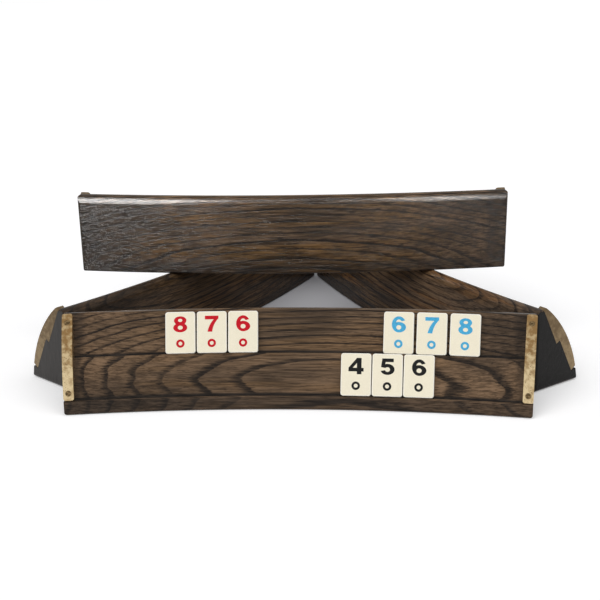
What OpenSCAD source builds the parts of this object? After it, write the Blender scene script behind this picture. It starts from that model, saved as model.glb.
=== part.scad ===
// Set of four bowed two-row tile racks with brass end plates and nine numbered tiles.
// Three racks stand in a triangle on the table, and the fourth lies across the two side racks.
// Units are millimetres. The origin is the middle of the front rack's foot, +Z is up, and the
// front rack's tile side faces -Y.

/* [Rack] */
// Length of a rack along the front edge of its foot
rack_length = 380; // [340:1:400]
// Radius of a rack's bow, to the front edge of its foot
bow_radius = 1210; // [1000:10:2000]
// Height of a rack
rack_height = 73; // [71:0.5:80]
// Depth of a rack's foot, front to back
foot_depth = 52.5; // [48:0.5:60]
// Depth of a rack's top, from the upper tile seat to the back
top_depth = 7.5; // [7.2:0.1:14]
// Radius of the round edge along the top of the back
back_round = 7; // [3:0.5:7]
// Radius of the small rounds along the front lip and the back of the foot
edge_round = 1.5; // [0.5:0.1:2]
// Radius of the eased edges round the back, top and foot of a rack's ends
end_round = 3; // [1:0.1:4]

/* [Tile seats] */
// How far both tile seats lean back from upright, in degrees
seat_lean = 28; // [22:0.5:30]
// Height of the front lip
lip_height = 12; // [10:0.5:14]
// How far the top of the front lip stands back from the foot's front edge
lip_setback = 2.4; // [1:0.1:4]
// Depth of the lower ledge that tiles stand on
lower_ledge = 5.7; // [5:0.1:7]
// Height of the lower tile seat, along its slope
lower_seat = 36; // [36:0.5:38]
// Depth of the upper ledge that tiles stand on
upper_ledge = 4.5; // [4.2:0.1:6]

/* [End plates] */
// Width of an end plate
plate_width = 8.5; // [7:0.5:12]
// How far an end plate's front bulges from its straight chord
plate_bulge = 6.2; // [3:0.1:6.5]
// Depth of an end plate's level top, front to back
plate_top = 3.6; // [2:0.1:4.5]
// How far an end plate rises above the rack's top
plate_rise = 0.7; // [0.3:0.1:2.5]
// Radius of an end plate's corners, seen from the front
plate_corner = 1.8; // [0.5:0.1:2.5]
// Gap between an end plate and the wood behind it
plate_clearance = 0.1; // [0.05:0.05:0.3]

/* [Screws] */
// Diameter of a screw's head
head_diameter = 4.6; // [4:0.1:5.5]
// Thickness of a screw's head
head_height = 1.1; // [0.8:0.1:1.4]
// Diameter of a screw's shank
shank_diameter = 2; // [1.5:0.1:2.5]
// Length of a screw under its head
shank_length = 11; // [9:0.5:13]
// Diameter of the dimple in a screw's head
dimple_diameter = 1.1; // [0.8:0.1:1.6]
// Depth of the dimple in a screw's head
dimple_depth = 0.6; // [0.3:0.1:0.7]
// Distance from an end plate's foot to the middle of its lower screw, along the chord
lower_screw_inset = 5.8; // [5:0.1:9]
// Distance from an end plate's top to the middle of its upper screw, along the chord
upper_screw_inset = 8.6; // [5:0.1:10]
// Gap round a screw's head and shank
screw_clearance = 0.15; // [0.1:0.05:0.3]
// How far a screw's head lies below the face of the end plate
head_sink = 0.1; // [0.05:0.05:0.3]

/* [Tiles] */
// Width of a tile
tile_width = 25; // [22:0.5:25.5]
// Height of a tile
tile_height = 35.2; // [30:0.1:35.6]
// Thickness of a tile
tile_thickness = 5; // [4:0.1:5.5]
// Radius of a tile's corners
tile_corner = 2.2; // [1:0.1:4]
// Gap between a tile and the seat and ledge that hold it
tile_clearance = 0.3; // [0.2:0.05:0.4]
// Place of the middle tile of the left upper run, along the rack
red_place = -71.7; // [-120:0.1:-60]
// Gap between the tiles of the left upper run
red_gap = 1.1; // [0.3:0.1:3]
// Place of the middle tile of the right upper run, along the rack
blue_place = 110.6; // [60:0.1:120]
// Gap between the tiles of the right upper run
blue_gap = 2.1; // [0.3:0.1:3]
// Place of the middle tile of the lower run, along the rack
black_place = 74; // [-100:0.1:100]
// Gap between the tiles of the lower run
black_gap = 0.6; // [0.3:0.1:3]

/* [Arrangement] */
// Least gap between the corners of neighbouring standing racks
corner_gap = 0.6; // [0.5:0.1:8]
// Gap under the rack that lies on top
stack_gap = 0.2; // [0.1:0.05:0.3]
// Sideways place of the top rack's middle
top_rack_x = -12.6; // [-25:0.1:25]
// How far behind the front rack's front edge the top rack's front edge lies
top_rack_y = 197.8; // [175:0.1:225]
// Turn of the top rack away from square, in degrees
top_rack_turn = 1.8; // [-4:0.1:4]

/* [Hidden] */
RACKS = ["front_rack", "left_rack", "right_rack", "top_rack"];
RACK_PIECES = ["wood", "plate_left", "plate_right", "screws"];
RUN = [-1, 0, 1];
RED_TILES = ["tile_red_8", "tile_red_7", "tile_red_6"];
BLUE_TILES = ["tile_blue_6", "tile_blue_7", "tile_blue_8"];
BLACK_TILES = ["tile_black_4", "tile_black_5", "tile_black_6"];

// Segments in a full turn of the bow, and in each short round of the section
bow_segments = 720;
round_steps = 8;
// Racks round the triangle, and so the turn from one to the next
triangle_turn = 120;
// How far a cutting shape reaches past what it cuts
cut_margin = 1;
// How far the screw holes run on past the screws' tips
hole_depth_margin = 1;

WOOD = "#3f342a";
BRASS = "#b8935a";
SCREW_BRASS = "#8f7347";
IVORY = "#efe6cf";

// Section of a rack: y runs from the front of the foot to the back, z runs up.
// Directions up a tile seat, and square out of it towards the player.
up = [sin(seat_lean), cos(seat_lean)];
out = [-cos(seat_lean), sin(seat_lean)];
foot_front = [0, 0];
lip_top = [lip_setback, lip_height];
lower_corner = lip_top - lower_ledge * out;
upper_edge = lower_corner + lower_seat * up;
upper_corner = upper_edge - upper_ledge * out;
top_edge = upper_corner + (rack_height - upper_corner[1]) / up[1] * up;
back_top = top_edge + [top_depth, 0];
foot_back = [foot_depth, 0];

// End planes are radial to the bow.
end_angle = asin(rack_length / 2 / bow_radius);

// Points of a round of radius r that blends the corner b between a and c
function unit(v) = v / norm(v);
function round_corner(a, b, c, r) =
    let (
        to_a = unit(a - b),
        to_c = unit(c - b),
        half = acos(to_a * to_c) / 2,
        middle = b + r / sin(half) * unit(to_a + to_c),
        start = b + r / tan(half) * to_a,
        finish = b + r / tan(half) * to_c,
        first = atan2(start[1] - middle[1], start[0] - middle[0]),
        last = atan2(finish[1] - middle[1], finish[0] - middle[0]),
        turn = (last - first) - 360 * round((last - first) / 360)
    )
    [for (i = [0:round_steps]) middle + r * [
        cos(first + turn * i / round_steps),
        sin(first + turn * i / round_steps)
    ]];

// Points of an arc from a to b that bulges to the left of its chord
function bulge_radius(a, b, bulge) = (pow(norm(b - a) / 2, 2) + pow(bulge, 2)) / (2 * bulge);
function bulge_point(a, b, bulge, share) =
    let (
        r = bulge_radius(a, b, bulge),
        along = unit(b - a),
        left = [-along[1], along[0]],
        reach = asin(norm(b - a) / 2 / r),
        angle = reach * (2 * share - 1)
    )
    (a + b) / 2 - (r - bulge) * left + r * (cos(angle) * left + sin(angle) * along);

wood_section = concat(
    round_corner(foot_back, foot_front, lip_top, edge_round),
    round_corner(foot_front, lip_top, lower_corner, edge_round),
    [lower_corner, upper_edge, upper_corner, top_edge],
    round_corner(top_edge, back_top, foot_back, back_round),
    round_corner(back_top, foot_back, foot_front, edge_round)
);

// End plate: it sits on the lower ledge and follows both seats, and its front is one long arc.
seat_offset = plate_clearance * (up + out);
plate_foot = lip_top + plate_clearance * up;
plate_back_top = top_edge + plate_rise / up[1] * up + plate_clearance * out;
plate_front_top = [top_edge[0] - plate_top, plate_back_top[1]];
plate_arc_steps = 24;
plate_section = concat(
    [for (i = [0:plate_arc_steps])
        bulge_point(plate_foot, plate_front_top, plate_bulge, i / plate_arc_steps)],
    [
        plate_back_top,
        upper_corner + seat_offset,
        upper_edge + seat_offset,
        lower_corner + seat_offset
    ]
);
plate_chord = norm(plate_front_top - plate_foot);
plate_chord_lean = atan2(plate_front_top[0] - plate_foot[0], plate_front_top[1] - plate_foot[1]);
// How far the plate reaches in front of its chord and behind it
plate_reach = lower_ledge + upper_ledge + plate_bulge + cut_margin;

// Screws stand square to the plate's arc.
screw_shares = [lower_screw_inset / plate_chord, 1 - upper_screw_inset / plate_chord];
function screw_point(share) = bulge_point(plate_foot, plate_front_top, plate_bulge, share);
function screw_lean(share) =
    plate_chord_lean + (2 * share - 1) * asin(
        plate_chord / 2 / bulge_radius(plate_foot, plate_front_top, plate_bulge));

// Triangle of standing racks: the eased back corners of neighbouring ends almost touch.
corner_radius = bow_radius + back_top[0];
end_corner = [corner_radius * sin(end_angle), corner_radius * cos(end_angle) - bow_radius];
half_turn = triangle_turn / 2;
corner_relief = end_round * (cos(end_angle + half_turn) + sin(end_angle + half_turn) - 1);
triangle_middle = end_corner[1] + (end_corner[0] + corner_gap - 2 * corner_relief) / tan(half_turn);
// The origin lies at the middle of the foot, so the section starts half a foot in front of it.
front_y = -foot_depth / 2;

module rounded_rectangle(width, height, corner) {
    translate([-width / 2 + corner, -height / 2])
        square([width - 2 * corner, height]);
    translate([-width / 2, -height / 2 + corner])
        square([width, height - 2 * corner]);
    for (x = [-1, 1])
        for (y = [-1, 1])
            translate([x * (width / 2 - corner), y * (height / 2 - corner)])
                circle(r = corner, $fn = 48);
}

// Puts a piece drawn at the middle of the bow at an angle along it. Inside, y and z are the section's.
module along_bow(angle) {
    translate([0, front_y - bow_radius, 0])
        rotate([0, 0, -angle])
            translate([0, bow_radius, 0])
                children();
}

// Draws a section outline upright and gives it a thickness towards -X.
module section_slab(points, thickness) {
    translate([-thickness, 0, 0])
        rotate([90, 0, 90])
            linear_extrude(thickness)
                polygon(points);
}

// Puts a piece at an end of the rack, side 1 at +X and side -1 at -X.
module at_end(side) {
    along_bow(side * end_angle)
        mirror([side < 0 ? 1 : 0, 0, 0])
            children();
}

// Puts a piece on a screw's axis, with +Z pointing out of the plate's face.
module at_screw(share) {
    place = screw_point(share);
    translate([-plate_width / 2, place[0], place[1]])
        rotate([90 - screw_lean(share), 0, 0])
            children();
}

module screw_holes(shank_hole, head_hole) {
    for (share = screw_shares)
        at_screw(share) {
            translate([0, 0, -head_sink - head_height - shank_length - hole_depth_margin])
                cylinder(d = shank_hole, h = shank_length + head_height + hole_depth_margin, $fn = 32);
            translate([0, 0, -head_sink - head_height - screw_clearance])
                cylinder(d = head_hole, h = head_height + head_sink + screw_clearance + cut_margin, $fn = 48);
        }
}

// Takes the sharp edge off an end. The bar runs along +Z, the edge lies at the origin, and the wood
// is at -X and -Y of it.
module edge_cutter(length) {
    translate([0, 0, -cut_margin])
        linear_extrude(length + 2 * cut_margin)
            difference() {
                translate([-end_round, -end_round])
                    square(end_round + cut_margin);
                translate([-end_round, -end_round])
                    circle(r = end_round, $fn = 64);
            }
}

module end_edges() {
    translate([0, foot_back[0], 0])
        rotate([-atan2(back_top[0] - foot_back[0], rack_height), 0, 0])
            edge_cutter(rack_height);
    rotate([-90, 0, 0])
        edge_cutter(foot_depth);
    translate([0, back_top[0], rack_height])
        rotate([90, 0, 0])
            edge_cutter(top_depth + end_round);
}

module wood() {
    color(WOOD)
        difference() {
            translate([0, front_y - bow_radius, 0])
                rotate([0, 0, 90 - end_angle])
                    rotate_extrude(angle = 2 * end_angle, $fn = bow_segments)
                        translate([bow_radius, 0])
                            polygon(wood_section);
            for (side = [-1, 1])
                at_end(side) {
                    screw_holes(shank_diameter + 2 * screw_clearance, shank_diameter + 2 * screw_clearance);
                    end_edges();
                }
        }
}

// Front outline of an end plate, square to its chord
module plate_outline() {
    translate([-plate_width / 2, plate_foot[0], plate_foot[1]])
        rotate([90 - plate_chord_lean, 0, 0])
            translate([0, plate_chord / 2, -plate_reach])
                linear_extrude(2 * plate_reach)
                    rounded_rectangle(plate_width, plate_chord, plate_corner);
}
module end_plate(side) {
    color(BRASS)
        at_end(side)
            difference() {
                intersection() {
                    section_slab(plate_section, plate_width);
                    plate_outline();
                }
                screw_holes(shank_diameter + 2 * screw_clearance, head_diameter + 2 * screw_clearance);
            }
}

module screw() {
    translate([0, 0, -head_sink])
        difference() {
            union() {
                translate([0, 0, -head_height])
                    cylinder(d = head_diameter, h = head_height, $fn = 48);
                translate([0, 0, -head_height - shank_length])
                    cylinder(d = shank_diameter, h = shank_length, $fn = 32);
            }
            translate([0, 0, -dimple_depth])
                cylinder(d = dimple_diameter, h = dimple_depth + cut_margin, $fn = 32);
        }
}

module screws() {
    color(SCREW_BRASS)
        for (side = [-1, 1])
            at_end(side)
                for (share = screw_shares)
                    at_screw(share)
                        screw();
}

module rack_piece(piece) {
    if (piece == "wood") wood();
    if (piece == "plate_left") end_plate(-1);
    if (piece == "plate_right") end_plate(1);
    if (piece == "screws") screws();
}

// Turns a rack about the middle of the triangle.
module round_triangle(turn) {
    translate([0, front_y + triangle_middle, 0])
        rotate([0, 0, turn])
            translate([0, -front_y - triangle_middle, 0])
                children();
}

// Lays a rack across the side racks with its back to the front.
module on_top() {
    translate([top_rack_x, front_y + top_rack_y, rack_height + stack_gap])
        rotate([0, 0, 180 + top_rack_turn])
            translate([0, -front_y, 0])
                children();
}

module place_rack(rack) {
    if (rack == "front_rack") children();
    if (rack == "left_rack") round_triangle(-triangle_turn) children();
    if (rack == "right_rack") round_triangle(triangle_turn) children();
    if (rack == "top_rack") on_top() children();
}

// A tile that stands on a ledge, its back against the seat. corner is the ledge's inner corner.
module tile(corner, place) {
    foot = corner + tile_clearance * (up + out);
    color(IVORY)
        along_bow(asin(place / (bow_radius + foot[0])))
            translate([0, foot[0], foot[1]])
                rotate([90 - seat_lean, 0, 0])
                    translate([0, tile_height / 2, 0])
                        linear_extrude(tile_thickness)
                            rounded_rectangle(tile_width, tile_height, tile_corner);
}

// Place of a tile in its run of three, number 0 to 2 from the left
function run_place(middle, gap, number) = middle + RUN[number] * (tile_width + gap);

for (rack = RACKS)
    for (piece = RACK_PIECES)
        place_rack(rack) rack_piece(piece);
for (number = [0:2]) {
    tile(upper_corner, run_place(red_place, red_gap, number));
    tile(upper_corner, run_place(blue_place, blue_gap, number));
    tile(lower_corner, run_place(black_place, black_gap, number));
}
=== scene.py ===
import math

import bmesh
import bpy
from mathutils import Matrix, Vector


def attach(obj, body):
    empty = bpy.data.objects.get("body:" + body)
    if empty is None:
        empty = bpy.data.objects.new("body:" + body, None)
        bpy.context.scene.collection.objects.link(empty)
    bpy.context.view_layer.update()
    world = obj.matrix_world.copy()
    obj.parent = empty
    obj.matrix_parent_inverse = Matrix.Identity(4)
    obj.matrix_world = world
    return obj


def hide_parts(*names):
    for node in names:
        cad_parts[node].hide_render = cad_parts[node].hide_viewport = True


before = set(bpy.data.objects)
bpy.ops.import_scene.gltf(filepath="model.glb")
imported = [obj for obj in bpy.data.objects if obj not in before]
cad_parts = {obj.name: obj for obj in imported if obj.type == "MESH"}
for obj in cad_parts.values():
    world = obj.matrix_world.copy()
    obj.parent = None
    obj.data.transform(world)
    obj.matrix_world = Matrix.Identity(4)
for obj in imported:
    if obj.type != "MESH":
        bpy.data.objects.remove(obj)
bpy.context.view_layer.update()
scene = bpy.context.scene

MM = 0.001

# Sizes shared with the CAD source, in millimetres and degrees
RACK_LENGTH = 380
BOW_RADIUS = 1210
RACK_HEIGHT = 73
FOOT_DEPTH = 52.5
TOP_DEPTH = 7.5
SEAT_LEAN = 28
LIP_HEIGHT = 12
LIP_SETBACK = 2.4
LOWER_LEDGE = 5.7
LOWER_SEAT = 36
UPPER_LEDGE = 4.5
END_ROUND = 3
CORNER_GAP = 0.6
STACK_GAP = 0.2
TRIANGLE_TURN = 120
TILE_WIDTH = 25
TILE_HEIGHT = 35.2
TILE_THICKNESS = 5
TILE_CORNER = 2.2
TILE_CLEARANCE = 0.3
# The top rack's place across and behind the front rack, and its turn
TOP_RACK = (-12.6, 197.8, 181.8)

# A rack's section, as depth behind the front of the foot and height
lean = math.radians(SEAT_LEAN)
seat_up = Vector((math.sin(lean), math.cos(lean)))
seat_out = Vector((-math.cos(lean), math.sin(lean)))
lower_corner = Vector((LIP_SETBACK, LIP_HEIGHT)) - LOWER_LEDGE * seat_out
upper_corner = lower_corner + LOWER_SEAT * seat_up - UPPER_LEDGE * seat_out
top_edge = upper_corner + (RACK_HEIGHT - upper_corner.y) / seat_up.y * seat_up
front_y = -FOOT_DEPTH / 2

# From the front of the front rack's foot to the middle of the triangle
end_angle = math.asin(RACK_LENGTH / 2 / BOW_RADIUS)
back_radius = BOW_RADIUS + top_edge.x + TOP_DEPTH
half_turn = math.radians(TRIANGLE_TURN / 2)
corner_relief = END_ROUND * (math.cos(end_angle + half_turn) + math.sin(end_angle + half_turn) - 1)
triangle_middle = (
    back_radius * math.cos(end_angle) - BOW_RADIUS
    + (back_radius * math.sin(end_angle) + CORNER_GAP - 2 * corner_relief) / math.tan(half_turn)
)

# Each run of tiles: place of its middle tile along the rack, gap between tiles, ledge and numerals
RUNS = {
    "red": (-71.7, 1.1, upper_corner, "876"),
    "blue": (110.6, 2.1, upper_corner, "678"),
    "black": (74, 0.6, lower_corner, "456"),
}

# Camera fitted to the photograph
CAMERA_PLACE = (0.0553, -0.88336, 0.37567)
CAMERA_HEADING = 3.41
CAMERA_PITCH = -18.089
CAMERA_ROLL = -1.007
FOCAL_PIXELS = 1134.13
IMAGE_PIXELS = 600
SENSOR_WIDTH = 36


def shift(x, y, z):
    return Matrix.Translation(Vector((x, y, z)) * MM)


def turn(degrees, axis="Z"):
    return Matrix.Rotation(math.radians(degrees), 4, axis)


def rack_place(rack):
    """Matrix from the front rack's place to this rack's place."""
    if rack == "front_rack":
        return Matrix.Identity(4)
    if rack == "top_rack":
        x, y, angle = TOP_RACK
        stand = shift(x, front_y + y, RACK_HEIGHT + STACK_GAP)
        return stand @ turn(angle) @ shift(0, -front_y, 0)
    side = -1 if rack == "left_rack" else 1
    middle = front_y + triangle_middle
    return shift(0, middle, 0) @ turn(side * TRIANGLE_TURN) @ shift(0, -middle, 0)


def tile_place(corner, along):
    """Matrix that stands a tile on its ledge. Inside, x and y are the face's and z points out of it."""
    foot = corner + TILE_CLEARANCE * (seat_up + seat_out)
    angle = math.asin(along / (BOW_RADIUS + foot.x))
    return (
        shift(0, front_y - BOW_RADIUS, 0)
        @ Matrix.Rotation(-angle, 4, "Z")
        @ shift(0, BOW_RADIUS, 0)
        @ shift(0, foot.x, foot.y)
        @ turn(90 - SEAT_LEAN, "X")
        @ shift(0, TILE_HEIGHT / 2, 0)
    )


UNIT = (0.0, 1.0)
FALL = (1.0, 0.0)


class Nodes:
    """Builds a node tree in few words."""

    def __init__(self, owner, output):
        owner.use_nodes = True
        self.owner = owner
        self.tree = owner.node_tree
        self.tree.nodes.clear()
        self.output = self.add(output)

    def add(self, kind, **settings):
        node = self.tree.nodes.new(kind)
        for key, value in settings.items():
            setattr(node, key, value)
        return node

    def put(self, socket, value):
        """Links a socket to another node's output, or sets its own value."""
        if isinstance(value, bpy.types.NodeSocket):
            self.tree.links.new(value, socket)
        elif socket.type == "RGBA":
            socket.default_value = (*value, 1)
        else:
            socket.default_value = value

    def math(self, operation, *values):
        node = self.add("ShaderNodeMath", operation=operation)
        for socket, value in zip(node.inputs, values):
            self.put(socket, value)
        return node.outputs[0]

    def vector(self, operation, *values):
        node = self.add("ShaderNodeVectorMath", operation=operation)
        for socket, value in zip(node.inputs, values):
            self.put(socket, value)
        return node.outputs["Value" if operation in ("LENGTH", "DOT_PRODUCT") else "Vector"]

    def split(self, vector):
        node = self.add("ShaderNodeSeparateXYZ")
        self.put(node.inputs[0], vector)
        return node.outputs

    def smooth(self, value, limits, ends=UNIT):
        """Eases from one end to the other while a value passes between its limits."""
        node = self.add("ShaderNodeMapRange", interpolation_type="SMOOTHSTEP")
        for socket, setting in zip(node.inputs, (value, *limits, *ends)):
            self.put(socket, setting)
        return node.outputs[0]

    def band(self, value, begins, ends):
        """One between the limits where a band begins and those where it ends, and zero outside."""
        return self.math("MINIMUM", self.smooth(value, begins), self.smooth(value, ends, FALL))

    def noise(self, vector, scale, detail, roughness=0.5, colour=False):
        node = self.add("ShaderNodeTexNoise")
        self.put(node.inputs["Vector"], vector)
        self.put(node.inputs["Scale"], scale)
        self.put(node.inputs["Detail"], detail)
        self.put(node.inputs["Roughness"], roughness)
        return node.outputs["Color" if colour else 0]

    def mix(self, factor, first, second, blend="MIX"):
        """Mixes two colours, whose sockets are the seventh and eighth of the node."""
        node = self.add("ShaderNodeMix", data_type="RGBA", blend_type=blend)
        for index, value in ((0, factor), (6, first), (7, second)):
            self.put(node.inputs[index], value)
        return node.outputs[2]

    def coords(self, output="Object"):
        return self.add("ShaderNodeTexCoord").outputs[output]

    def local(self, place):
        """Object coordinates, taken back from a piece's place to where it was drawn."""
        back = place.inverted()
        mapping = self.add("ShaderNodeMapping")
        self.put(mapping.inputs["Vector"], self.coords())
        mapping.inputs["Location"].default_value = back.to_translation()
        mapping.inputs["Rotation"].default_value = back.to_euler()
        return mapping.outputs[0]

    def seen(self):
        """One on the rays that show a surface: the camera's, and those in gloss or through glass."""
        path = self.add("ShaderNodeLightPath").outputs
        rays = self.math("MAXIMUM", path["Is Camera Ray"], path["Is Glossy Ray"])
        return self.math("MAXIMUM", rays, path["Is Transmission Ray"])

    def bump(self, height, distance, strength):
        node = self.add("ShaderNodeBump")
        self.put(node.inputs["Strength"], strength)
        self.put(node.inputs["Distance"], distance)
        self.put(node.inputs["Height"], height)
        return node.outputs[0]

    def surface(self, color, roughness, normal, **sockets):
        shader = self.add("ShaderNodeBsdfPrincipled")
        self.put(shader.inputs["Base Color"], color)
        self.put(shader.inputs["Roughness"], roughness)
        self.put(shader.inputs["Normal"], normal)
        for key, value in sockets.items():
            self.put(shader.inputs[key.replace("_", " ")], value)
        self.put(self.output.inputs[0], shader.outputs[0])
        return self.owner


def material_nodes(name):
    return Nodes(bpy.data.materials.new(name), "ShaderNodeOutputMaterial")


# Growth rings of each rack's board, in metres: the pith's place behind the foot's middle and its
# height, how far it moves back for each metre along the board, the ring width, where the rings and
# the noise start, how much the grain wanders, and the first ring that shows
BOARDS = {
    "front_rack": dict(pith=(0.0605, -0.0223), slope=-0.0355, ring=0.0029, phase=0.62, seed=0.0,
                       wander=0.0035, first=30.5),
    "left_rack": dict(pith=(0.016, 0.080), slope=0.2, ring=0.0062, phase=0.3, seed=3.7,
                      wander=0.016, first=0.0),
    "right_rack": dict(pith=(0.016, 0.080), slope=-0.2, ring=0.0066, phase=0.1, seed=8.1,
                       wander=0.018, first=0.0),
    "top_rack": dict(pith=(0.147, -0.027), slope=0.0, ring=0.0030, phase=0.0, seed=12.9,
                     wander=0.0035, first=0.0),
}
# Depth of each board's stain, its darkest and palest streaks, golden streaks in the middle, warm
# streaks, dark patches, the sawn ends, the ring lines and how many open pores there are
STAINS = {
    "front_rack": dict(tone=1.0, streaks=(0.50, 1.40), golden=0.25, warm=0.0, patch=0.15,
                       end=0.7, lines=0.94, pores=0.0),
    "left_rack": dict(tone=0.56, streaks=(0.45, 1.45), golden=0.4, warm=0.5, patch=0.4,
                      end=1.0, lines=0.75, pores=0.0),
    # The right rack's sawn end is painted darker, as painted shade
    "right_rack": dict(tone=0.80, streaks=(0.50, 1.40), golden=0.5, warm=0.9, patch=0.3,
                       end=0.3, lines=0.65, pores=0.0),
    "top_rack": dict(tone=0.70, streaks=(0.26, 1.80), golden=0.9, warm=0.2, patch=0.3,
                     end=0.7, lines=0.98, pores=0.05),
}
# Noises in the wood: scale along, across and up the board, for each metre, then detail and roughness
GRAINS = {
    "wander": ((7.0, 22.0, 22.0), 2.0, 0.5),
    "fibres": ((28.0, 760.0, 760.0), 3.0, 0.65),
    "uneven": ((0.4, 60.0, 60.0), 1.0, 0.5),
    "pores": ((60.0, 1500.0, 1500.0), 2.0, 0.6),
    "patches": ((9.0, 26.0, 26.0), 3.0, 0.5),
    "streams": ((6.0, 120.0, 120.0), 2.0, 0.5),
    "rays": ((40.0, 900.0, 90.0), 3.0, 0.5),
}
SEED_SHARES = (1.0, 0.37, 0.61)

# Shares of a ring's width over which the dark early wood begins and fades, and how ragged and uneven
# the rings are
EARLY_RISE = (0.0, 0.05)
EARLY_FADE = (0.10, 0.38)
RAGGED_EDGE = 0.22
UNEVEN_WIDTH = 0.9
FAINTEST_RING = 0.55
FIRST_RING_FADE = 0.3
PORES_IN_EARLY = 0.16
PORE_LIMITS = (0.56, 0.68)
PORE_DARKNESS = 0.75

# Limits of the noises that colour the wood, and distances from the board's middle, in metres
PALE_LIMITS = (0.32, 0.62)
GOLDEN_LIMITS = (0.44, 0.62)
GOLDEN_REACH = (0.09, 0.17)
WARM_LIMITS = (0.52, 0.66)
STREAK_LIMITS = (0.30, 0.70)
PATCH_LIMITS = (0.40, 0.60)
PATCH_REACH = (0.06, 0.15)
LIP_STREAKS = (0.35, 0.68)

# Darkening, in metres: up the lip, painted shade away from a ledge's corner, and darker stain with a
# painted shadow beside the end plates
LIP_TOP = (0.0095, 0.0125)
LIP_DARKENING = 0.62
CORNER_BEGINS = (-0.0012, -0.0004)
CORNER_UP_SEAT = (0.0016, 0.0040)
CORNER_OUT_LEDGE = (0.0004, 0.0016)
PLATE_REACH = (0.176, 0.182)
PLATE_STAIN_AND_SHADOW = 0.55

# Painted highlight along the top edge of the seat: heights in metres, and millimetres behind the edge
HIGHLIGHT_HEIGHTS = (0.0721, 0.0727)
HIGHLIGHT_DEPTHS = (0.3, 1.0)
HIGHLIGHT_LIMITS = (0.40, 0.62)
HIGHLIGHT_MOST = 0.5

SAWN_FACING = (0.80, 0.93)
EARLY_RELIEF = 0.5
WOOD_BUMP = (0.00007, 0.6)
WOOD_ROUGHNESS = (0.22, 0.15)
WOOD_SPECULAR = 0.085

# Browns of the stained wood, from the palest fibre to the open pores
PALE_BROWN = (0.165, 0.104, 0.061)
DEEP_BROWN = (0.080, 0.053, 0.034)
GOLDEN = (0.190, 0.104, 0.040)
ORANGE = (0.188, 0.096, 0.041)
RING_DARK = (0.011, 0.009, 0.008)
RING_BROWN = (0.026, 0.020, 0.016)
PORE = (0.008, 0.0065, 0.006)
# Also the colour of the painted shade in the ledge corners and beside the end plates
LIP_BROWN = (0.040, 0.031, 0.025)
# Painted highlight on the sharp top edge of the seat
PAINTED_EDGE_HIGHLIGHT = (0.20, 0.185, 0.17)
END_DARK = (0.026, 0.025, 0.024)
END_PALE = (0.072, 0.066, 0.062)


def grain(n, name, place, colour=False):
    scales, detail, roughness = GRAINS[name]
    return n.noise(n.vector("MULTIPLY", place, scales), 1.0, detail, roughness, colour)


def early_wood(n, board, place, moved, fibres):
    """How dark the early wood is: rings about the pith, of uneven width, with ragged edges."""
    half = (0.5, 0.5, 0.5)
    wander = n.vector("SUBTRACT", grain(n, "wander", moved, colour=True), half)
    wander = n.vector("MULTIPLY", wander, (0.0, board["wander"], board["wander"]))
    bent = n.vector("ADD", place, wander)
    x, y, z = n.split(bent)
    pith_y, pith_z = board["pith"]
    off_y = n.math("SUBTRACT", n.math("SUBTRACT", y, pith_y), n.math("MULTIPLY", x, board["slope"]))
    off_z = n.math("SUBTRACT", z, pith_z)
    radius = n.math("SQRT", n.math("ADD", n.math("POWER", off_y, 2.0), n.math("POWER", off_z, 2.0)))

    rings = n.math("ADD", n.math("DIVIDE", radius, board["ring"]), board["phase"])
    rings = n.math("ADD", rings, n.math("MULTIPLY", grain(n, "uneven", bent), UNEVEN_WIDTH))
    ragged = n.math("MULTIPLY", n.math("SUBTRACT", fibres, 0.5), RAGGED_EDGE)
    edge = n.math("ADD", rings, ragged)
    early = n.band(n.math("FRACT", edge), EARLY_RISE, EARLY_FADE)

    each = n.add("ShaderNodeTexWhiteNoise", noise_dimensions="1D")
    n.put(each.inputs["W"], n.math("ADD", n.math("FLOOR", edge), board["seed"]))
    strength = n.smooth(each.outputs[0], UNIT, (FAINTEST_RING, 1.0))
    shown = n.smooth(rings, (board["first"], board["first"] + FIRST_RING_FADE))
    return n.math("MULTIPLY", early, n.math("MULTIPLY", strength, shown))


def open_pores(n, stain, moved, early):
    """Short dark dashes along the grain, most of them in the early wood."""
    pores = n.math("ADD", grain(n, "pores", moved), n.math("MULTIPLY", early, PORES_IN_EARLY))
    return n.smooth(n.math("ADD", pores, stain["pores"]), PORE_LIMITS)


def stained_brown(n, stain, along, fibres, patches, streams):
    """Browns of the stain, patchy over the board and streaked along it."""
    brown = n.mix(n.smooth(patches, PALE_LIMITS), DEEP_BROWN, PALE_BROWN)
    middle = n.smooth(along, GOLDEN_REACH, (stain["golden"], 0.0))
    brown = n.mix(n.math("MULTIPLY", n.smooth(streams[1], GOLDEN_LIMITS), middle), brown, GOLDEN)
    brown = n.mix(n.smooth(streams[2], WARM_LIMITS, (0.0, stain["warm"])), brown, ORANGE)
    darkest, palest = stain["streaks"]
    streaks = n.smooth(fibres, STREAK_LIMITS, (darkest * stain["tone"], palest * stain["tone"]))
    return n.mix(1.0, brown, streaks, "MULTIPLY")


def bow_depth(n, spot):
    """Depth behind the front of the foot, square to the bow."""
    flat = n.add("ShaderNodeCombineXYZ")
    n.put(flat.inputs[0], spot[0])
    n.put(flat.inputs[1], n.math("ADD", spot[1], (BOW_RADIUS - front_y) * MM))
    return n.math("SUBTRACT", n.vector("LENGTH", flat.outputs[0]), BOW_RADIUS * MM)


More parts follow.
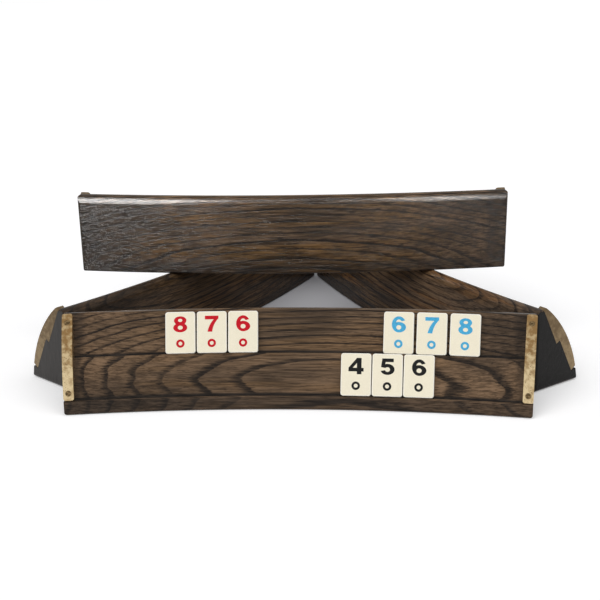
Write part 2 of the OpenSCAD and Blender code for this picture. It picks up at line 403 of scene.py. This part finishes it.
def darker_lip_and_painted_shade(n, spot, along, depth):
    """Darker on the lip, painted shade in the corners of both ledges, and darker stain with a painted
    shadow beside the end plates.
    """
    darkening = n.smooth(spot[2], LIP_TOP, (LIP_DARKENING, 0.0))
    for corner in (lower_corner, upper_corner):
        beside = n.math("SUBTRACT", depth, corner.x * MM)
        above = n.math("SUBTRACT", spot[2], corner.y * MM)
        risen, outward = (
            n.math("ADD", n.math("MULTIPLY", beside, way.x), n.math("MULTIPLY", above, way.y))
            for way in (seat_up, seat_out)
        )
        near = n.band(risen, CORNER_BEGINS, CORNER_UP_SEAT)
        face = n.band(outward, CORNER_BEGINS, CORNER_OUT_LEDGE)
        darkening = n.math("MAXIMUM", darkening, n.math("MINIMUM", near, face))
    return n.math("MAXIMUM", darkening, n.smooth(along, PLATE_REACH, (0.0, PLATE_STAIN_AND_SHADOW)))


def wood_material(rack):
    board = BOARDS[rack]
    stain = STAINS[rack]
    n = material_nodes("stained_ash_" + rack)
    place = n.local(rack_place(rack))
    moved = n.vector("ADD", place, tuple(board["seed"] * share for share in SEED_SHARES))
    spot = n.split(place)
    along = n.math("ABSOLUTE", spot[0])
    depth = bow_depth(n, spot)
    fibres = grain(n, "fibres", moved)
    patches = grain(n, "patches", moved)
    streams = n.split(grain(n, "streams", moved, colour=True))
    early = early_wood(n, board, place, moved, fibres)
    pores = open_pores(n, stain, moved, early)

    colour = stained_brown(n, stain, along, fibres, patches, streams)
    lines = n.math("MULTIPLY", early, stain["lines"])
    colour = n.mix(lines, colour, n.mix(fibres, RING_DARK, RING_BROWN))
    colour = n.mix(n.math("MULTIPLY", pores, PORE_DARKNESS), colour, PORE)
    shade = n.math("MULTIPLY", n.smooth(patches, PATCH_LIMITS, FALL), n.smooth(along, PATCH_REACH))
    colour = n.mix(n.math("MULTIPLY", shade, stain["patch"]), colour, RING_BROWN)
    darkening_colour = n.mix(n.smooth(fibres, LIP_STREAKS), RING_DARK, LIP_BROWN)
    # Painted shade in the ledge corners and a painted shadow beside the end plates, with the lip darker
    colour = n.mix(darker_lip_and_painted_shade(n, spot, along, depth), colour, darkening_colour)

    # A painted highlight: the sharp edge along the top of the seat is painted pale in places
    behind = [(top_edge.x + highlight_depth) * MM for highlight_depth in HIGHLIGHT_DEPTHS]
    edge = n.math("MINIMUM", n.smooth(spot[2], HIGHLIGHT_HEIGHTS), n.smooth(depth, behind, FALL))
    places = n.smooth(streams[0], HIGHLIGHT_LIMITS, (0.0, HIGHLIGHT_MOST))
    colour = n.mix(n.math("MULTIPLY", edge, places), colour, PAINTED_EDGE_HIGHLIGHT)

    # End grain on the two sawn ends: dark, with short rays
    axis = rack_place(rack).to_3x3() @ Vector((1, 0, 0))
    facing = n.math("ABSOLUTE", n.vector("DOT_PRODUCT", n.coords("Normal"), axis))
    dark, pale = (tuple(c * stain["end"] for c in tone) for tone in (END_DARK, END_PALE))
    colour = n.mix(n.smooth(facing, SAWN_FACING), colour, n.mix(grain(n, "rays", moved), dark, pale))

    hollows = n.math("MAXIMUM", n.math("MULTIPLY", early, EARLY_RELIEF), pores)
    relief = n.math("SUBTRACT", 1.0, hollows)
    rough = n.smooth(relief, UNIT, WOOD_ROUGHNESS)
    return n.surface(colour, rough, n.bump(relief, *WOOD_BUMP), Specular_IOR_Level=WOOD_SPECULAR)


# Bright, tarnished and pitted brass on the front rack, and a darker copy with painted shade on the
# other racks
FRONT_BRASS = ((0.68, 0.54, 0.32), (0.29, 0.175, 0.072), (0.16, 0.10, 0.045))
SHADED_BRASS = ((0.26, 0.19, 0.105), (0.15, 0.103, 0.056), (0.08, 0.055, 0.032))
BRASS_STARTS = {"left": (2.1, 0.7, 1.9), "right": (5.3, 0.7, 1.9)}
# Scale for each metre, detail and roughness of the tarnish's clouds and of the casting's pits
BRASS_CLOUDS = (210.0, 4.0, 0.6)
BRASS_PITS = (900.0, 2.0)
PIT_LIMITS = (0.60, 0.74)
PIT_DEPTH = 0.5
# Painted reflection: the brass is painted duller with height, in metres; tarnish grows with the clouds
REFLECTION_HEIGHTS = (0.020, 0.066)
REFLECTION_BY_HEIGHT = 0.55
TARNISH_CLOUDS = (0.32, 0.68)
TARNISH_BY_CLOUD = 0.6
TARNISH_AND_REFLECTION_LIMITS = (0.10, 1.05)
BRASS_ROUGHNESS = (0.36, 0.52)
BRASS_BUMP = (0.00012, 0.6)


def brass_material(rack, side):
    bright, dull, pitted = FRONT_BRASS if rack == "front_rack" else SHADED_BRASS
    n = material_nodes(f"cast_brass_{rack}_{side}")
    place = n.local(rack_place(rack))
    moved = n.vector("ADD", place, BRASS_STARTS[side])
    clouds = n.noise(moved, *BRASS_CLOUDS)
    pits = n.smooth(n.noise(moved, *BRASS_PITS), PIT_LIMITS)
    # Painted reflection: darker towards the top of the plate, paler towards the bottom
    reflection_by_height = n.math("MULTIPLY", n.smooth(n.split(place)[2], REFLECTION_HEIGHTS), REFLECTION_BY_HEIGHT)
    by_cloud = n.math("MULTIPLY", n.smooth(clouds, TARNISH_CLOUDS), TARNISH_BY_CLOUD)
    tarnish_and_reflection = n.smooth(n.math("ADD", reflection_by_height, by_cloud), TARNISH_AND_REFLECTION_LIMITS)
    colour = n.mix(pits, n.mix(tarnish_and_reflection, bright, dull), pitted)
    rough = n.smooth(tarnish_and_reflection, UNIT, BRASS_ROUGHNESS)
    height = n.math("SUBTRACT", clouds, n.math("MULTIPLY", pits, PIT_DEPTH))
    return n.surface(colour, rough, n.bump(height, *BRASS_BUMP), Metallic=1.0)


SCREW_DARK = (0.085, 0.056, 0.028)
SCREW_BRIGHT = (0.27, 0.185, 0.09)
SCREW_WEAR = (700.0, 3.0)
SCREW_WEAR_LIMITS = (0.35, 0.65)
SCREW_GLOSS_LIMITS = (0.3, 0.7)
SCREW_ROUGHNESS = (0.50, 0.34)
SCREW_BUMP = (0.0001, 0.5)


def screw_material():
    n = material_nodes("screw_brass")
    wear = n.noise(n.coords(), *SCREW_WEAR)
    colour = n.mix(n.smooth(wear, SCREW_WEAR_LIMITS), SCREW_DARK, SCREW_BRIGHT)
    rough = n.smooth(wear, SCREW_GLOSS_LIMITS, SCREW_ROUGHNESS)
    return n.surface(colour, rough, n.bump(wear, *SCREW_BUMP), Metallic=1.0)


# Darkest and palest ivory of a tile's faces and of its rims
IVORY_FACE = ((0.80, 0.73, 0.56), (0.88, 0.82, 0.65))
IVORY_RIM = ((0.90, 0.86, 0.75), (0.94, 0.91, 0.82))
IVORY_CLOUD = (160.0, 3.0)
IVORY_GRAIN = (1400.0, 2.0)
IVORY_CLOUD_SHARE = 0.6
IVORY_GLOSS_LIMITS = (0.3, 0.7)
IVORY_ROUGHNESS = (0.30, 0.24)
IVORY_COAT = 0.1
PAINTS = {"red": (0.58, 0.010, 0.022), "blue": (0.075, 0.42, 0.70), "black": (0.012, 0.012, 0.012)}
PAINT_CLOUD = (600.0, 2.0)
PAINT_CLOUD_LIMITS = (0.35, 0.65)
PAINT_DEEPER = 0.82
PAINT_ROUGHNESS = 0.42
PAINT_SPECULAR = 0.12
FINE_BUMP = (0.00002, 0.3)


def ivory_material(name, low, high):
    n = material_nodes(name)
    cloud = n.noise(n.coords(), *IVORY_CLOUD)
    speck = n.noise(n.coords(), *IVORY_GRAIN)
    share = n.math(
        "ADD",
        n.math("MULTIPLY", cloud, IVORY_CLOUD_SHARE),
        n.math("MULTIPLY", speck, 1 - IVORY_CLOUD_SHARE),
    )
    rough = n.smooth(speck, IVORY_GLOSS_LIMITS, IVORY_ROUGHNESS)
    bump = n.bump(speck, *FINE_BUMP)
    return n.surface(n.mix(share, low, high), rough, bump, Coat_Weight=IVORY_COAT)


def paint_material(name, colour):
    n = material_nodes(name)
    cloud = n.noise(n.coords(), *PAINT_CLOUD)
    deep = tuple(c * PAINT_DEEPER for c in colour)
    paint = n.mix(n.smooth(cloud, PAINT_CLOUD_LIMITS), deep, colour)
    bump = n.bump(cloud, *FINE_BUMP)
    return n.surface(paint, PAINT_ROUGHNESS, bump, Specular_IOR_Level=PAINT_SPECULAR)


def arc(cx, cy, rx, ry, first, last, steps):
    """Points of an ellipse from one angle to another, in degrees."""
    points = []
    for i in range(steps + 1):
        a = math.radians(first + (last - first) * i / steps)
        points.append((cx + rx * math.cos(a), cy + ry * math.sin(a)))
    return points


def sweep(start, bend, finish, steps=12):
    """Points of a quadratic curve."""
    points = []
    for i in range(steps + 1):
        t = i / steps
        shares = ((1 - t) ** 2, 2 * t * (1 - t), t * t)
        points.append(tuple(
            sum(share * point[axis] for share, point in zip(shares, (start, bend, finish)))
            for axis in range(2)
        ))
    return points


# Numerals as outlines one unit high, about the middle of their width
GLYPHS = {
    "4": [
        [(0.05, 1), (0.33, 1), (0.33, 0.39), (0.46, 0.39), (0.46, 0.17), (0.33, 0.17), (0.33, 0),
         (0.05, 0), (0.05, 0.17), (-0.46, 0.17), (-0.46, 0.39)],
        [(0.05, 0.39), (0.05, 0.69), (-0.20, 0.39)],
    ],
    "5": [
        [(-0.32, 1), (0.37, 1), (0.37, 0.785), (-0.115, 0.785), (-0.14, 0.645)]
        + arc(0.0, 0.335, 0.43, 0.335, 108, -163, 40)
        + arc(0.0, 0.325, 0.155, 0.145, -163, 140, 34)
        + [(-0.395, 0.465)],
    ],
    "6": [
        arc(0.0, 0.50, 0.43, 0.50, 30, 270, 50)
        + arc(0.0, 0.325, 0.44, 0.325, -88, 112, 36)
        + arc(0.0, 0.62, 0.165, 0.185, 185, 25, 20),
        arc(0.0, 0.315, 0.155, 0.14, 0, 352, 30),
    ],
    "7": [
        [(-0.42, 1), (0.42, 1), (0.42, 0.83)]
        + sweep((0.42, 0.83), (0.08, 0.48), (0.03, 0.0))
        + [(-0.26, 0.0)]
        + sweep((-0.26, 0.0), (-0.16, 0.48), (0.13, 0.775))
        + [(-0.42, 0.775)],
    ],
    "8": [
        arc(0.0, 0.735, 0.385, 0.265, -32, 212, 40) + arc(0.0, 0.29, 0.43, 0.29, 130, 410, 46),
        arc(0.0, 0.745, 0.135, 0.10, 0, 352, 24),
        arc(0.0, 0.29, 0.155, 0.125, 0, 352, 24),
    ],
}
# Millimetres from the middle of a tile's face
NUMERAL_HEIGHT = 13.5
NUMERAL_BASE = 0.2
RING_HEIGHT = -9.3
RING_RADII = (3.5, 1.6)
RING_END = 352.5
RING_STEPS = 47
PAINT_PROUD = 0.05
PAINT_DEEP = 0.25


def tile_marks(name, numeral, place, material):
    """A tile's numeral and ring, as flat raised shapes on its face."""
    outlines = []
    for outline in GLYPHS[numeral]:
        size = NUMERAL_HEIGHT * MM
        outlines.append([(x * size, y * size + NUMERAL_BASE * MM) for x, y in outline])
    for radius in RING_RADII:
        radius *= MM
        outlines.append(arc(0, RING_HEIGHT * MM, radius, radius, 0, RING_END, RING_STEPS))
    curve = bpy.data.curves.new(name, "CURVE")
    curve.dimensions = "2D"
    curve.fill_mode = "BOTH"
    curve.extrude = (PAINT_PROUD + PAINT_DEEP) / 2 * MM
    for outline in outlines:
        spline = curve.splines.new("POLY")
        spline.points.add(len(outline) - 1)
        for point, (x, y) in zip(spline.points, outline):
            point.co = (x, y, 0, 1)
        spline.use_cyclic_u = True
    curve.materials.append(material)
    obj = bpy.data.objects.new(name, curve)
    obj.matrix_world = place @ shift(0, 0, TILE_THICKNESS + (PAINT_PROUD - PAINT_DEEP) / 2)
    scene.collection.objects.link(obj)
    return obj


EDGE_ROUND = 0.75
EDGE_STEPS = 5
CORNER_STEPS = 8


def rounded_loop(inset, z):
    """A tile's outline with rounded corners, inset at one height."""
    corner = TILE_CORNER - inset
    across = TILE_WIDTH / 2 - inset - corner
    up = TILE_HEIGHT / 2 - inset - corner
    points = []
    for cx, cy, first in ((1, 1, 0), (-1, 1, 90), (-1, -1, 180), (1, -1, 270)):
        for i in range(CORNER_STEPS + 1):
            a = math.radians(first + 90 * i / CORNER_STEPS)
            x = cx * across + corner * math.cos(a)
            y = cy * up + corner * math.sin(a)
            points.append(Vector((x, y, z)) * MM)
    return points


def tile_body(name, place, face, rim):
    """A tile with rounded corners and rounded rims, in the space of its CAD solid."""
    quarter = [math.radians(90 * i / EDGE_STEPS) for i in range(EDGE_STEPS + 1)]
    back = [(1 - math.sin(a), EDGE_ROUND * (1 - math.cos(a))) for a in quarter]
    front = [(1 - math.cos(a), TILE_THICKNESS - EDGE_ROUND * (1 - math.sin(a))) for a in quarter]
    mesh = bmesh.new()
    loops = []
    for inset, z in back + front:
        points = rounded_loop(EDGE_ROUND * inset, z)
        loops.append([mesh.verts.new(place @ point) for point in points])
    count = len(loops[0])
    for lower, upper in zip(loops, loops[1:]):
        for i in range(count):
            j = (i + 1) % count
            side = mesh.faces.new((lower[i], lower[j], upper[j], upper[i]))
            side.smooth = True
            side.material_index = 1
    mesh.faces.new(list(reversed(loops[0])))
    mesh.faces.new(loops[-1])
    data = bpy.data.meshes.new(name)
    mesh.to_mesh(data)
    mesh.free()
    obj = bpy.data.objects.new(name, data)
    scene.collection.objects.link(obj)
    data.materials.append(face)
    data.materials.append(rim)
    return obj


def dress_racks():
    screw = screw_material()
    for rack in BOARDS:
        looks = {
            "wood": wood_material(rack),
            "plate_left": brass_material(rack, "left"),
            "plate_right": brass_material(rack, "right"),
            "screws": screw,
        }
        for piece, material in looks.items():
            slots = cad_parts[f"{rack}_{piece}"].data.materials
            slots.clear()
            slots.append(material)


def stand_tiles():
    ivory = ivory_material("ivory_tile", *IVORY_FACE)
    rim = ivory_material("ivory_rim", *IVORY_RIM)
    for colour, (middle, gap, corner, numerals) in RUNS.items():
        paint = paint_material(colour + "_paint", PAINTS[colour])
        for step, numeral in zip((-1, 0, 1), numerals):
            name = f"tile_{colour}_{numeral}"
            place = tile_place(corner, middle + step * (TILE_WIDTH + gap))
            body = tile_body(name + "_slab", place, ivory, rim)
            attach(body, name)
            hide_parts(name)
            marks = tile_marks(name + "_marks", numeral, place, paint)
            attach(marks, name)


def make_camera():
    data = bpy.data.cameras.new("camera")
    data.sensor_width = SENSOR_WIDTH
    data.lens = SENSOR_WIDTH * FOCAL_PIXELS / IMAGE_PIXELS
    obj = bpy.data.objects.new("camera", data)
    obj.matrix_world = (
        Matrix.Translation(CAMERA_PLACE)
        @ turn(CAMERA_HEADING)
        @ turn(90 + CAMERA_PITCH, "X")
        @ turn(CAMERA_ROLL)
    )
    scene.collection.objects.link(obj)
    scene.camera = obj


# The floor is painted grey between the racks, as painted shade, and white further out, and its glow
# grows away from them. Its limits are in metres from its middle.
FLOOR_RADIUS = 6.0
FLOOR_SEGMENTS = 96
FLOOR_DROP = 0.0003
FLOOR_MIDDLE = (0.0, 0.27, 0.0)
FLOOR_PAINTED_SHADE = (0.60, 0.60, 0.63)
FLOOR_WHITE = (0.95, 0.95, 0.96)
FLOOR_SHADE_FADES = (0.07, 0.16)
FLOOR_GLOWS = (0.08, 0.28)
FLOOR_GLOW = 0.22
WORLD_LIGHT = 0.36
WORLD_SEEN = 1.0
# Lamps: direction towards each sun and its strength, then place, size and watts of each soft box
SUNS = {"key": ((-0.45, -0.55, 0.75), 1.4), "fill": ((0.50, -0.35, 0.80), 0.75)}
SUN_ANGLE = 50
PANELS = {
    "left_gloss": ((-0.60, -0.75, 0.60), (0.55, 1.5), 275),
    "right_gloss": ((0.50, -0.81, 0.60), (0.31, 1.5), 96),
}
PANEL_AIM = Vector((0, 0.17, 0.14))


def floor_material():
    """White floor that keeps the racks' shadow, with painted shade between them, and glows white, where
    it is seen, away from them.
    """
    n = material_nodes("floor_white_painted_shade")
    away = n.vector("LENGTH", n.vector("SUBTRACT", n.coords(), FLOOR_MIDDLE))
    diffuse = n.add("ShaderNodeBsdfDiffuse")
    n.put(diffuse.inputs[0], n.mix(n.smooth(away, FLOOR_SHADE_FADES), FLOOR_PAINTED_SHADE, FLOOR_WHITE))
    glow = n.add("ShaderNodeEmission")
    strength = n.smooth(away, FLOOR_GLOWS, (0.0, FLOOR_GLOW))
    n.put(glow.inputs["Strength"], n.math("MULTIPLY", n.seen(), strength))
    both = n.add("ShaderNodeAddShader")
    n.put(both.inputs[0], diffuse.outputs[0])
    n.put(both.inputs[1], glow.outputs[0])
    n.put(n.output.inputs[0], both.outputs[0])
    return n.owner


def make_floor():
    mesh = bmesh.new()
    bmesh.ops.create_circle(mesh, cap_ends=True, segments=FLOOR_SEGMENTS, radius=FLOOR_RADIUS)
    data = bpy.data.meshes.new("floor")
    mesh.to_mesh(data)
    mesh.free()
    floor = bpy.data.objects.new("floor", data)
    floor.location.z = -FLOOR_DROP
    scene.collection.objects.link(floor)
    data.materials.append(floor_material())


def make_world():
    scene.world = bpy.data.worlds.new("studio")
    n = Nodes(scene.world, "ShaderNodeOutputWorld")
    background = n.add("ShaderNodeBackground")
    n.put(background.inputs[0], (1, 1, 1))
    n.put(background.inputs[1], n.smooth(n.seen(), UNIT, (WORLD_LIGHT, WORLD_SEEN)))
    n.put(n.output.inputs[0], background.outputs[0])


def soft_sun(name, towards, strength):
    """A lamp as even over the whole floor as a wide window far away."""
    data = bpy.data.lights.new(name, "SUN")
    data.energy = strength
    data.angle = math.radians(SUN_ANGLE)
    obj = bpy.data.objects.new(name, data)
    obj.rotation_euler = Vector(towards).to_track_quat("Z", "Y").to_euler()
    obj.visible_glossy = False
    scene.collection.objects.link(obj)


def soft_box(name, place, size, power, lit):
    """A lamp that shows only as a highlight on one rack's polished edge."""
    data = bpy.data.lights.new(name, "AREA")
    data.shape = "RECTANGLE"
    data.size, data.size_y = size
    data.energy = power
    obj = bpy.data.objects.new(name, data)
    obj.location = place
    obj.rotation_euler = (PANEL_AIM - Vector(place)).to_track_quat("-Z", "Y").to_euler()
    obj.visible_diffuse = False
    group = bpy.data.collections.new(name + "_lit")
    group.objects.link(lit)
    obj.light_linking.receiver_collection = group
    scene.collection.objects.link(obj)


dress_racks()
stand_tiles()
make_camera()
make_floor()
make_world()
for name, (towards, strength) in SUNS.items():
    soft_sun(name, towards, strength)
for name, (place, size, power) in PANELS.items():
    soft_box(name, place, size, power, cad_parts["top_rack_wood"])

scene.view_settings.view_transform = "Standard"
